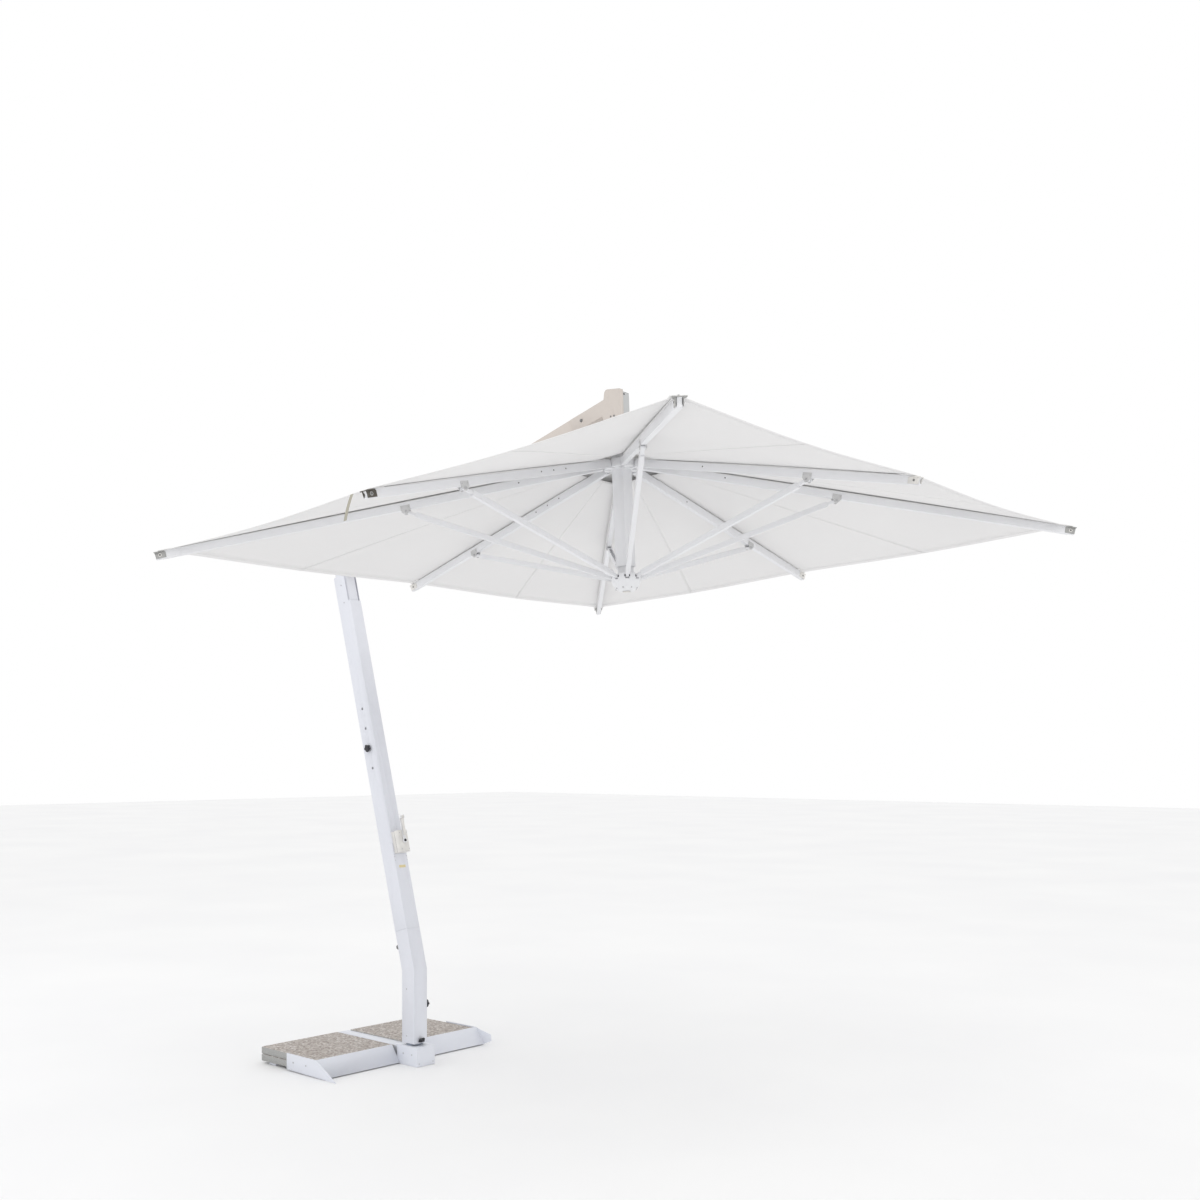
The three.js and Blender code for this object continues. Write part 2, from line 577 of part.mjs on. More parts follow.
function boom() {
  const group = new THREE.Group();
  const leaning = placed(new THREE.Group(), 0, 0, MAST.kink, -MAST.lean);
  leaning.add(part("inner_mast", innerMast(), PAINT_WHITE));
  leaning.add(part("slide_shoe", slideShoe(), WHITE_PLASTIC));
  leaning.add(part("mast_cap", mastCap(), WHITE_PLASTIC));
  leaning.add(part("arm_beam", armBeam(), PAINT_WARM));
  leaning.add(placed(part("mast_pulley", pulley(24, 36), WHITE_PLASTIC), 0, 0, 2283));
  group.add(leaning);
  group.add(part("head_plate_left", headPlate(-1), PAINT_WARM));
  group.add(part("head_plate_right", headPlate(1), PAINT_WARM));
  return group;
}

function ribAssembly({ name, angle, corner }) {
  const group = new THREE.Group();
  group.rotation.z = angle;
  group.add(placed(part(`rib_${name}`, rib(corner), PAINT_WHITE), HINGE_RADIUS, 0, 0, ribSlope(corner)));
  const { top, bottom } = strutEnds(corner);
  const run = top[0] - bottom[0];
  const fall = top[1] - bottom[1];
  const piece = part(`strut_${name}`, strut(Math.hypot(run, fall)), PAINT_WHITE);
  group.add(placed(piece, top[0], 0, top[1], Math.PI - Math.atan2(fall, run)));
  group.add(part(`canopy_${name}`, cloth(corner), FABRIC));
  return group;
}

function canopy() {
  const group = placed(new THREE.Group(), HUB.x, HUB.y, HUB.z, -TILT);
  group.add(part("canopy_pole", pole(), BARE_METAL));
  group.add(placed(part("head_pulley", pulley(23, 36), WHITE_PLASTIC), 0, 0, POLE.pulley));
  group.add(part("upper_hub", upperHub(), WHITE_PLASTIC));
  group.add(placed(part("runner", runner(), WHITE_PLASTIC), 0, 0, -RUNNER_DROP));
  for (const each of ribAngles()) group.add(ribAssembly(each));
  return group;
}

const parasol = new THREE.Group();
parasol.add(base(), mast(), boom(), canopy());

export default parasol;
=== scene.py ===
"""Looks of a square cantilever parasol on a slab-weighted base, in metres with +Z up."""

import json
import math

import bmesh
import bpy
from mathutils import Matrix, Vector


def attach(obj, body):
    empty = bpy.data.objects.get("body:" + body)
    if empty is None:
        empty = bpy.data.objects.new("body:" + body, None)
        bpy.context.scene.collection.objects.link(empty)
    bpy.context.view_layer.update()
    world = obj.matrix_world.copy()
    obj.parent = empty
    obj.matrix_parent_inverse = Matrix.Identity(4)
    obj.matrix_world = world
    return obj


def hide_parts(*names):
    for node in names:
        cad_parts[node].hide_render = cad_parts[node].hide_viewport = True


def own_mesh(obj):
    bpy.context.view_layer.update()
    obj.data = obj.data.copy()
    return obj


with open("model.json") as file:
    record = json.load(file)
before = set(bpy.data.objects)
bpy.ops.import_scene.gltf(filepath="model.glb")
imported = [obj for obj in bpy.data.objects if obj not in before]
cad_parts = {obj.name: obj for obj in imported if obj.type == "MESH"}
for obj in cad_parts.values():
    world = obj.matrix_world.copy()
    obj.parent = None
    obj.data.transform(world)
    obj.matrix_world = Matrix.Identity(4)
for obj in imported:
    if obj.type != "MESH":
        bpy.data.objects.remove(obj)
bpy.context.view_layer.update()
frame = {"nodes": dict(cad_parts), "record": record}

# The frames that the CAD model is built in: the whole part, the leaning mast, and the tilted canopy.
LEAN = math.radians(15.5)
TILT = math.radians(3)
MAST = Matrix.Translation((0, 0, 0.499)) @ Matrix.Rotation(-LEAN, 4, "Y")
CANOPY = Matrix.Translation((1.460, 0, 2.978)) @ Matrix.Rotation(-TILT, 4, "Y")
FLOOR = Matrix.Identity(4)

RIBS = ["mast_side", "mast_left", "left", "outer_left", "outer", "outer_right", "right", "mast_right"]
HINGE_RADIUS = 0.062
EDGE_HALF, EDGE_DROP = 1.5, 0.364
CLOTH_SLOPE = EDGE_DROP / (EDGE_HALF - HINGE_RADIUS)
CLOTH_LIFT, CLOTH_EDGE, CLOTH_VENT = 0.021, 1.478, 0.205
CAP_EDGE, CAP_HOLE, CAP_LIFT = 0.330, 0.076, 0.030
CLOTH_THICK = 0.0009
HEM, CAP_HEM = 0.028, 0.015
RUNNER_DROP = 0.5209  # from the rib hinges to the strut pins on the runner
PIVOT_DROP = 0.024  # from the rib's middle line to the strut's upper pin
MAST_FACE = 0.0445  # from the mast's middle to its side
HEAD_FACE = 0.0373  # from the arm's middle to the outside of a head plate
KNOB_AT, HOLE_STEP, CRANK_AT = 1.230, 0.113, 0.685  # along the leaning mast


def rib_facts(index):
    """A rib's angle round the pole, whether it's a corner rib, its length, and its frame with +X along it."""
    angle = math.pi + index * math.pi / 4
    corner = index % 2 == 1
    run = EDGE_HALF * (math.sqrt(2) if corner else 1) - HINGE_RADIUS
    place = Matrix.Rotation(angle, 4, "Z") @ Matrix.Translation((HINGE_RADIUS, 0, 0))
    at = CANOPY @ place @ Matrix.Rotation(math.atan2(EDGE_DROP, run), 4, "Y")
    return angle, corner, math.hypot(EDGE_DROP, run), at


# ---------------------------------------------------------------- materials


class Tree:
    """A material's nodes, made and linked in one call each."""

    def __init__(self, name, roughness=0.5, metallic=0.0, **sockets):
        self.material = bpy.data.materials.new(name)
        self.material.use_nodes = True
        self.nodes = self.material.node_tree.nodes
        self.links = self.material.node_tree.links
        self.shader = self.nodes["Principled BSDF"]
        self.set(self.shader, {"Roughness": roughness, "Metallic": metallic, **sockets})

    def set(self, node, values):
        for key, value in values.items():
            if isinstance(value, bpy.types.NodeSocket):
                self.links.new(value, node.inputs[key])
            else:
                node.inputs[key].default_value = value

    def add(self, kind, values=None, out=0, **properties):
        node = self.nodes.new(kind)
        for key, value in properties.items():
            setattr(node, key, value)
        self.set(node, values or {})
        return node.outputs[out]

    def place(self, output="Object"):
        return self.nodes.new("ShaderNodeTexCoord").outputs[output]

    def noise(self, scale, detail=3.0, vector=None, roughness=0.5):
        values = {"Vector": vector or self.place(), "Scale": scale, "Detail": detail, "Roughness": roughness}
        return self.add("ShaderNodeTexNoise", values)

    def range(self, value, low, high, start=0.0, end=1.0):
        values = {"Value": value, "From Min": start, "From Max": end, "To Min": low, "To Max": high}
        return self.add("ShaderNodeMapRange", values)

    def math(self, operation, a, b=0.0):
        return self.add("ShaderNodeMath", {0: a, 1: b}, operation=operation)

    def mix(self, share, a, b, blend="MIX"):
        node = self.nodes.new("ShaderNodeMix")
        node.data_type = "RGBA"
        node.blend_type = blend
        self.set(node, {0: share, 6: a, 7: b})
        return node.outputs[2]

    def bump(self, height, strength, distance, normal=None):
        values = {"Height": height, "Strength": strength, "Distance": distance}
        if normal:
            values["Normal"] = normal
        return self.add("ShaderNodeBump", values)

    def drift(self, scale, amount):
        """A small random offset, for warping a texture's coordinates."""
        node = self.nodes.new("ShaderNodeTexNoise")
        self.set(node, {"Vector": self.place(), "Scale": scale, "Detail": 2.0})
        values = {0: node.outputs["Color"], 1: (0.5, 0.5, 0.5)}
        centred = self.add("ShaderNodeVectorMath", values, operation="SUBTRACT")
        return self.add("ShaderNodeVectorMath", {0: centred, 3: amount}, operation="SCALE")

    def finish(self, color=None, roughness=None, normal=None):
        for key, value in (("Base Color", color), ("Roughness", roughness), ("Normal", normal)):
            if value is not None:
                self.set(self.shader, {key: value})
        return self.material


def shade(color, factor):
    """A colour made lighter or darker, with its alpha."""
    return tuple(min(1.0, c * factor) for c in color) + (1.0,)


def powder_coat(name, color, roughness=0.42):
    """Sprayed paint: a fine orange-peel skin, slight blotches in tone, and dust in the low spots."""
    tree = Tree(name, **{"Specular IOR Level": 0.45, "Coat Weight": 0.12, "Coat Roughness": 0.3})
    blotch = tree.range(tree.noise(2.2, 4.0), 0, 1, 0.3, 0.7)
    dust = tree.range(tree.noise(38, 6.0, roughness=0.65), 0, 1, 0.45, 0.75)
    tone = tree.mix(blotch, shade(color, 0.975), shade(color, 1.02))
    tone = tree.mix(tree.math("MULTIPLY", dust, 0.10), tone, shade(color, 0.86))
    rough = tree.range(tree.noise(55, 3.0), roughness - 0.06, roughness + 0.09, 0.3, 0.7)
    peel = tree.bump(tree.noise(420, 2.0), 0.10, 0.0006)
    return tree.finish(tone, rough, tree.bump(tree.noise(1900, 1.0), 0.05, 0.0002, peel))


def moulded(name, color, roughness, speckle=0.06):
    """Injection-moulded plastic with a spark-eroded grain."""
    tree = Tree(name, **{"Specular IOR Level": 0.4})
    cells = tree.add("ShaderNodeTexVoronoi", {"Vector": tree.place(), "Scale": 1400.0})
    patches = tree.range(tree.noise(24, 5.0), 0, 1, 0.35, 0.65)
    tone = tree.mix(patches, shade(color, 1 - speckle), shade(color, 1 + speckle))
    rough = tree.range(tree.noise(90, 4.0), roughness - 0.06, roughness + 0.08, 0.3, 0.7)
    return tree.finish(tone, rough, tree.bump(cells, 0.12, 0.0002))


def drawn_metal(name, color, roughness, direction, stretch=60.0):
    """Metal with fine lines along one axis of the piece: 0, 1 or 2 for X, Y or Z."""
    tree = Tree(name, metallic=1.0)
    scale = [900.0, 900.0, 900.0]
    scale[direction] = 900.0 / stretch
    lines = tree.add("ShaderNodeMapping", {"Vector": tree.place(), "Scale": scale})
    streak = tree.noise(1.0, 3.0, lines)
    cloud = tree.range(tree.noise(14, 4.0), 0, 1, 0.3, 0.7)
    tone = tree.mix(cloud, shade(color, 0.92), shade(color, 1.05))
    rough = tree.range(streak, roughness - 0.08, roughness + 0.12, 0.3, 0.7)
    return tree.finish(tone, rough, tree.bump(streak, 0.10, 0.0002))


def gravel(name):
    """Washed-gravel paving: round pebbles in grey mortar on top, plain cast concrete on the sides."""
    tree = Tree(name, **{"Specular IOR Level": 0.25})
    warp = tree.add("ShaderNodeVectorMath", {0: tree.place(), 1: tree.drift(60, 0.006)}, operation="ADD")
    cells = {"Vector": warp, "Scale": 82.0}
    pebble = tree.add("ShaderNodeTexVoronoi", cells).node
    crack = tree.add("ShaderNodeTexVoronoi", cells, feature="DISTANCE_TO_EDGE")
    pick = tree.add("ShaderNodeSeparateColor", {"Color": pebble.outputs["Color"]})
    ramp = tree.nodes.new("ShaderNodeValToRGB")
    stops = [
        (0.0, 0.26, 0.21, 0.19),
        (0.18, 0.42, 0.36, 0.33),
        (0.38, 0.56, 0.51, 0.48),
        (0.6, 0.68, 0.64, 0.60),
        (0.8, 0.80, 0.77, 0.75),
        (0.97, 0.38, 0.36, 0.36),
    ]
    elements = ramp.color_ramp.elements
    while len(elements) < len(stops):
        elements.new(0.5)
    for element, (position, *rgb) in zip(elements, stops):
        element.position = position
        element.color = (*rgb, 1)
    ramp.color_ramp.interpolation = "CONSTANT"
    tree.links.new(pick, ramp.inputs["Fac"])
    grain = tree.range(tree.noise(900, 3.0), 0.86, 1.1, 0.3, 0.7)
    stone = tree.mix(0.25, ramp.outputs["Color"], (0.52, 0.47, 0.42, 1))
    between = tree.range(crack, 1, 0, 0.02, 0.16)
    top = tree.mix(between, stone, (0.46, 0.42, 0.39, 1))
    side_noise = tree.noise(160, 8.0, roughness=0.7)
    side = tree.mix(tree.range(side_noise, 0, 1, 0.35, 0.65), (0.33, 0.33, 0.32, 1), (0.46, 0.46, 0.45, 1))
    facing = tree.add("ShaderNodeSeparateXYZ", {"Vector": tree.add("ShaderNodeNewGeometry", out=1)}, out=2)
    up = tree.range(facing, 0, 1, 0.6, 0.8)
    tone = tree.mix(up, side, top)
    tone = tree.mix(1.0, tone, tree.add("ShaderNodeCombineColor", {0: grain, 1: grain, 2: grain}), "MULTIPLY")
    dome = tree.math("MULTIPLY", tree.range(crack, 0, 1, 0.0, 0.3), up)
    rough = tree.range(tree.noise(300, 4.0), 0.72, 0.95, 0.3, 0.7)
    pits = tree.bump(side_noise, 0.35, 0.0012)
    return tree.finish(tone, rough, tree.bump(dome, 0.8, 0.003, pits))


def woven(name, color, pitch=0.0011):
    """Canvas: a plain weave, slubs in the yarn, faint creases, and a stitch line along the hem.

    The UV map gives metres across the cloth, and metres in from the hem.
    """
    tree = Tree(name, **{"Specular IOR Level": 0.2, "Sheen Weight": 0.12, "Sheen Roughness": 0.5})
    cut = tree.add("ShaderNodeSeparateXYZ", {"Vector": tree.place("UV")})
    across, inward = cut, cut.node.outputs[1]
    warp = tree.math("SINE", tree.math("MULTIPLY", across, 2 * math.pi / pitch))
    weft = tree.math("SINE", tree.math("MULTIPLY", inward, 2 * math.pi / pitch))
    weave = tree.math("MULTIPLY", warp, weft)
    stretched = lambda x, y: tree.add("ShaderNodeMapping", {"Vector": tree.place("UV"), "Scale": (x, y, 1.0)})
    across_slub = tree.noise(1.0, 2.0, stretched(14.0, 420.0))
    slub = tree.math("ADD", across_slub, tree.noise(1.0, 2.0, stretched(420.0, 14.0)))
    crease = tree.noise(3.2, 3.0, stretched(1.0, 0.45))
    cloud = tree.range(tree.noise(1.1, 4.0), 0, 1, 0.3, 0.7)
    tone = tree.mix(cloud, shade(color, 0.975), shade(color, 1.015))
    tone = tree.mix(tree.range(slub, 0, 0.35, 0.8, 1.3), tone, shade(color, 0.95))
    tone = tree.mix(tree.range(weave, 0, 0.10, 0, 1), tone, shade(color, 0.84))
    wave = tree.math("SINE", tree.math("MULTIPLY", across, 2 * math.pi / 0.0045))
    dash = tree.math("GREATER_THAN", wave, -0.35)
    line = tree.math("COMPARE", inward, HEM - 0.003)
    line.node.inputs[2].default_value = 0.0007
    stitch = tree.math("MULTIPLY", dash, line)
    tone = tree.mix(tree.math("MULTIPLY", stitch, 0.5), tone, shade(color, 0.6))
    fold = tree.bump(crease, 0.12, 0.02)
    yarn = tree.bump(tree.math("ADD", weave, slub), 0.10, 0.0003, fold)
    rough = tree.range(slub, 0.78, 0.92, 0.7, 1.3)
    return tree.finish(tone, rough, tree.bump(stitch, 0.5, 0.0006, yarn))


WHITE = powder_coat("powder_white", (0.745, 0.76, 0.815))
BASE_WHITE = powder_coat("powder_base", (0.755, 0.775, 0.835))
RIB_WHITE = powder_coat("powder_ribs", (0.845, 0.85, 0.87))
# Painted warm shade: the arm is white paint, given a darker beige here for the warm light it gets under the
# canopy.
ARM_WHITE_IN_PAINTED_SHADE = powder_coat("powder_arm_painted_shade", (0.615, 0.56, 0.515), 0.46)
POLE = drawn_metal("anodised_pole", (0.66, 0.67, 0.69), 0.36, 2)
STEEL = drawn_metal("zinc_steel", (0.56, 0.56, 0.57), 0.34, 1, 20)
BRACKET = moulded("cast_grey", (0.40, 0.40, 0.39), 0.46)
FORK = moulded("fork_grey", (0.62, 0.62, 0.62), 0.46)
# Near-black finish used only for the left rib's end bracket: painted shade for the shaded inside of that
# bracket.
BRACKET_PAINTED_SHADE = moulded("bracket_painted_shade", (0.105, 0.095, 0.080), 0.42)
RING = moulded("plastic_blue_grey", (0.26, 0.29, 0.34), 0.45)
BRASS = drawn_metal("brass_plate", (0.72, 0.62, 0.36), 0.38, 1, 20)
GRAVEL = gravel("gravel_slab")
CLOTH = woven("canvas", (0.852, 0.845, 0.842))
TAPE = woven("canvas_tape", (0.84, 0.835, 0.825), 0.0016)
WEBBING = woven("webbing_beige", (0.44, 0.42, 0.35), 0.0018)
BLACK = moulded("plastic_black", (0.030, 0.030, 0.036), 0.48, 0.2)
CREAM = moulded("plastic_cream", (0.76, 0.745, 0.715), 0.44)
GREY = moulded("plastic_grey", (0.20, 0.20, 0.20), 0.5)
SLEEVE = powder_coat("sleeve_grey", (0.50, 0.51, 0.51), 0.40)

FINISHES = {
    "mast_paint": WHITE,
    "arm_paint": ARM_WHITE_IN_PAINTED_SHADE,
    "base_paint": BASE_WHITE,
    "rib_paint": RIB_WHITE,
    "pole_aluminium": POLE,
    "steel": STEEL,
    "concrete": GRAVEL,
    "cloth": CLOTH,
    "black_plastic": BLACK,
    "white_plastic": CREAM,
}
SLOT_OF = {part["node"]: part["material_slot"] for part in frame["record"]["subparts"]}
OWN_FINISH = {
    "canopy_pole": RIB_WHITE,
    "slide_shoe": CREAM,
    "upper_hub": RIB_WHITE,
    "runner": RIB_WHITE,
    "swivel_ring": RING,
    "crank_arm": RIB_WHITE,
    "mast_clamp_screw": GREY,
}


# ---------------------------------------------------------------- CAD nodes


def soften(obj, width):
    """Rounds an object's edges as paint and forming do, and shades its curved faces smoothly."""
    weld = obj.modifiers.new("weld", "WELD")
    weld.merge_threshold = 1e-5
    bevel = obj.modifiers.new("edges", "BEVEL")
    bevel.width = width
    bevel.segments = 2
    bevel.limit_method = "ANGLE"
    bevel.angle_limit = math.radians(35)
    bevel.harden_normals = True
    bevel.use_clamp_overlap = True
    for polygon in obj.data.polygons:
        polygon.use_smooth = True


def dress_cad():
    """Gives every CAD node its material, and rounds the edges of the hard ones."""
    edge_of = {"concrete": 0.006, "black_plastic": 0.0012, "white_plastic": 0.0012, "base_paint": 0.0007}
    for name, node in frame["nodes"].items():
        node.data.materials.clear()
        node.data.materials.append(OWN_FINISH.get(name, FINISHES[SLOT_OF[name]]))
        if not name.startswith("canopy_") or name == "canopy_pole":
            soften(node, edge_of.get(SLOT_OF[name], 0.0010))


# ---------------------------------------------------------------- mesh building


class Build:
    """Gathers simple solids into one mesh, in a local frame."""

    def __init__(self, at=FLOOR):
        self.at = at
        self.verts = []
        self.faces = []

    def put(self, verts, faces):
        start = len(self.verts)
        self.verts += [self.at @ Vector(v) for v in verts]
        self.faces += [[start + i for i in face] for face in faces]
        return self

    def prism(self, outline, low, high, axis="y"):
        """An outline extruded along an axis: (x, z) points for y, (x, y) for z, (y, z) for x."""
        count = len(outline)
        turns = {
            "x": lambda a, b, t: (t, a, b),
            "y": lambda a, b, t: (a, t, b),
            "z": lambda a, b, t: (a, b, t),
        }
        turn = turns[axis]
        verts = [turn(a, b, t) for t in (low, high) for a, b in outline]
        sides = [[i, (i + 1) % count, count + (i + 1) % count, count + i] for i in range(count)]
        return self.put(verts, [list(range(count))[::-1], list(range(count, 2 * count)), *sides])

    def box(self, x0, x1, y0, y1, z0, z1):
        return self.prism([(x0, z0), (x1, z0), (x1, z1), (x0, z1)], y0, y1)

    def turned(self, profile, centre=(0, 0, 0), axis="z", sides=32):
        """A profile of (radius, height) points, closed or from radius 0 to 0, turned about an axis."""
        x, y, z = centre
        turns = {
            "x": lambda a, b, t: (x + t, y + a, z + b),
            "y": lambda a, b, t: (x + b, y + t, z + a),
            "z": lambda a, b, t: (x + a, y + b, z + t),
        }
        turn = turns[axis]
        verts = []
        for radius, height in profile:
            for i in range(sides):
                angle = 2 * math.pi * i / sides
                verts.append(turn(radius * math.cos(angle), radius * math.sin(angle), height))
        faces = []
        for ring in range(len(profile) - 1):
            for i in range(sides):
                j = (i + 1) % sides
                low, high = ring * sides, (ring + 1) * sides
                faces.append([low + i, low + j, high + j, high + i])
        return self.put(verts, faces)

    def make(self, name, material, body, slot, edge):
        mesh = bpy.data.meshes.new(name)
        mesh.from_pydata([tuple(v) for v in self.verts], [], self.faces)
        mesh.validate()
        clean(mesh)
        obj = bpy.data.objects.new(name, mesh)
        bpy.context.scene.collection.objects.link(obj)
        mesh.materials.append(material)
        if edge:
            soften(obj, edge)
        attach(obj, body)
        return obj


def clean(mesh):
    """Merges a mesh's doubled points and turns its faces outwards."""
    work = bmesh.new()
    work.from_mesh(mesh)
    bmesh.ops.remove_doubles(work, verts=work.verts, dist=1e-6)
    bmesh.ops.dissolve_degenerate(work, edges=work.edges, dist=1e-7)
    bmesh.ops.recalc_face_normals(work, faces=work.faces)
    work.to_mesh(mesh)
    work.free()


def disc(radius, low, high):
    """The profile of a plain disc or pin, for turning."""
    return [(0, low), (radius, low), (radius, high), (0, high)]


def screw_head(build, centre, axis, radius, height, sign=1):
    """A domed screw head with a hex socket, standing out along +axis or -axis."""
    s = sign * height
    r = radius
    dome = [(0, 0), (r, 0), (r, s * 0.35), (r * 0.86, s * 0.75), (r * 0.55, s)]
    profile = [*dome, (r * 0.42, s), (r * 0.38, s * 0.35), (0, s * 0.35)]
    return build.turned(profile, centre, axis, 20)


# ---------------------------------------------------------------- canopy cloth


def cloth_point(m, t):
    """A point of the side that faces +X: m is its distance out, t runs from corner to corner, -1 to 1.

    The cloth sags and its hem draws in between the ribs, and its corners are drawn out.
    """
    ripple = math.sin(math.pi * abs(t))
    share = max(0.0, (m - CLOTH_VENT) / (CLOTH_EDGE - CLOTH_VENT))
    hang = ripple ** 1.4 * (0.018 * share ** 1.1 - 0.006 * share ** 3)
    pull = 0.011 * ripple * share ** 6
    reach = 0.008 * abs(t) ** 60 * share ** 6
    dome = 0.0042 * math.sin(math.pi * share)
    z = CLOTH_LIFT + dome - CLOTH_SLOPE * (m - HINGE_RADIUS) - hang
    return Vector((m + reach - pull, t * (m + reach), z))


def cap_point(m, t):
    """The vent cap: its rim is drawn down towards the cloth beside each rib and bows up between them."""
    share = (m - CAP_HOLE) / (CAP_EDGE - CAP_HOLE)
    bow = 0.010 * math.sin(math.pi * abs(t)) * share
    z = CLOTH_LIFT + CAP_LIFT - CLOTH_SLOPE * (m - HINGE_RADIUS) + bow - 0.012 * share ** 2
    return Vector((m, t * m, z))


def wedge_rows(low, high, steps, hem):
    """Distances out for a grid, close together at the folded hem."""
    rows = [low + (high - hem - low) * i / steps for i in range(steps + 1)]
    return rows + [high - hem * 0.985, high - hem * 0.5, high - hem * 0.02, high]


class Wedge:
    """The cloth of one rib: a grid with an upper and a lower layer, and a UV map in metres.

    A side wedge is tucked a little way inside its neighbours' thickness. A corner wedge has two halves.
    """

    def __init__(self, corner, angle):
        self.sides = [(0.5, 1.0, -45), (-1.0, -0.5, 45)] if corner else [(-0.5, 0.5, 0)]
        self.tuck = 0 if corner else 0.003
        self.angle = angle
        self.verts, self.faces, self.rims, self.uvs = [], [], [], []

    def layer(self, point, rows, columns, edge, fold):
        """One closed sheet, of double thickness in the fold at its edge."""
        for low, high, turn in self.sides:
            place = CANOPY @ Matrix.Rotation(self.angle + math.radians(turn), 4, "Z")
            start = len(self.verts)
            count = columns // len(self.sides)
            spots = [low + (high - low) * i / count for i in range(count + 1)]
            if self.tuck:
                spots = [low - self.tuck, *spots, high + self.tuck]
            for upper in (False, True):
                for m in rows:
                    double = m > edge - fold
                    inward = (edge - m) / math.cos(math.atan(CLOTH_SLOPE))
                    for t in spots:
                        p = point(m, t)
                        if t < low or t > high:
                            p.z += CLOTH_THICK * (0.6 if upper else 0.3)
                        elif upper:
                            p.z += CLOTH_THICK
                        elif double:
                            p.z -= CLOTH_THICK * 0.9
                        self.verts.append(place @ p)
                        self.uvs.append((t * m + (3 if turn else 0), inward))
            self.skin(start, len(rows), len(spots))

    def skin(self, start, rows, columns):
        half = rows * columns
        at = lambda layer, r, c: start + layer * half + r * columns + c
        for r in range(rows - 1):
            for c in range(columns - 1):
                group = self.rims if self.tuck and c in (0, columns - 2) else self.faces
                group.append([at(1, r, c), at(1, r + 1, c), at(1, r + 1, c + 1), at(1, r, c + 1)])
                group.append([at(0, r, c), at(0, r, c + 1), at(0, r + 1, c + 1), at(0, r + 1, c)])
        last, side = rows - 1, columns - 1
        for c in range(columns - 1):
            self.rims.append([at(0, 0, c), at(1, 0, c), at(1, 0, c + 1), at(0, 0, c + 1)])
            self.rims.append([at(0, last, c), at(0, last, c + 1), at(1, last, c + 1), at(1, last, c)])
        for r in range(rows - 1):
            self.rims.append([at(0, r, 0), at(0, r + 1, 0), at(1, r + 1, 0), at(1, r, 0)])
            self.rims.append([at(0, r, side), at(1, r, side), at(1, r + 1, side), at(0, r + 1, side)])

    def make(self, name):
        mesh = bpy.data.meshes.new(name)
        mesh.from_pydata([tuple(v) for v in self.verts], [], self.faces + self.rims)
        layer = mesh.uv_layers.new(name="cut")
        for polygon in mesh.polygons:
            polygon.use_smooth = polygon.index < len(self.faces)
            for loop in polygon.loop_indices:
                layer.data[loop].uv = self.uvs[mesh.loops[loop].vertex_index]
        mesh.materials.append(CLOTH)
        obj = bpy.data.objects.new(name, mesh)
        bpy.context.scene.collection.objects.link(obj)
        return obj


def gather(piece):
    """Gives a piece of cloth a mesh of its own."""
    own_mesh(piece)


def canopy_cloth(index):
    """The wedge of cloth that one rib carries, with its share of the vent cap."""
    name = RIBS[index]
    angle, corner, _, _ = rib_facts(index)
    wedge = Wedge(corner, angle)
    wedge.layer(cloth_point, wedge_rows(CLOTH_VENT, CLOTH_EDGE, 44, HEM), 48, CLOTH_EDGE, HEM)
    wedge.layer(cap_point, wedge_rows(CAP_HOLE, CAP_EDGE, 14, CAP_HEM), 32, CAP_EDGE, CAP_HEM)
    cloth = wedge.make(f"cloth_{name}")
    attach(cloth, f"rib_{name}")
    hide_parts(f"canopy_{name}")
    gather(cloth)


def rib_pocket(index):
    """The tape sewn under the cloth along the rib, and the pocket that holds the rib's end."""
    name = RIBS[index]
    _, corner, length, at = rib_facts(index)
    build = Build(at)
    half = 0.016 if corner else 0.013
    wide = half + 0.012
    low = 0.0172
    build.box(0.20, length - 0.05, -half, half, low, low + 0.0009)
    build.box(length - 0.085, length - 0.022, -wide, wide, low, low + 0.0024)
    build.make(f"tape_{name}", TAPE, f"rib_{name}", "cloth", 0.0003)


def tie_strap():
    """The webbing strap that ties the folded canopy, sewn to the hem beside the left rib and hanging down."""
    place = CANOPY @ Matrix.Rotation(rib_facts(2)[0], 4, "Z")
    hem = cloth_point(CLOTH_EDGE - 0.004, -0.10 / CLOTH_EDGE)
    build = Build(place @ Matrix.Translation(hem))
    steps = 10
    path = []
    for i in range(steps + 1):
        share = i / steps
        x = 0.006 + 0.004 * math.sin(share * 3)
        path.append((x, -0.042 * share - 0.004 * share ** 2, -0.002 - 0.094 * share))
    half, thick = 0.0085, 0.0016
    section = [(0, -half), (thick, -half), (thick, half), (0, half)]
    verts = [(x + dx, y + dy, z) for x, y, z in path for dx, dy in section]
    faces = [[3, 2, 1, 0], [4 * steps + i for i in range(4)]]
    for i in range(steps):
        a = 4 * i
        for k in range(4):
            n = (k + 1) % 4
            faces.append([a + k, a + n, a + 4 + n, a + 4 + k])
    build.put(verts, faces)
    strap = build.make("tie_strap", WEBBING, "rib_left", "cloth", 0.0003)
    gather(strap)


# ---------------------------------------------------------------- rib hardware


def arc(cx, cz, radius, start, end, steps):
    """Points of an arc; start and end are in degrees."""
    angles = [math.radians(start + (end - start) * i / steps) for i in range(steps + 1)]
    return [(cx + radius * math.cos(a), cz + radius * math.sin(a)) for a in angles]


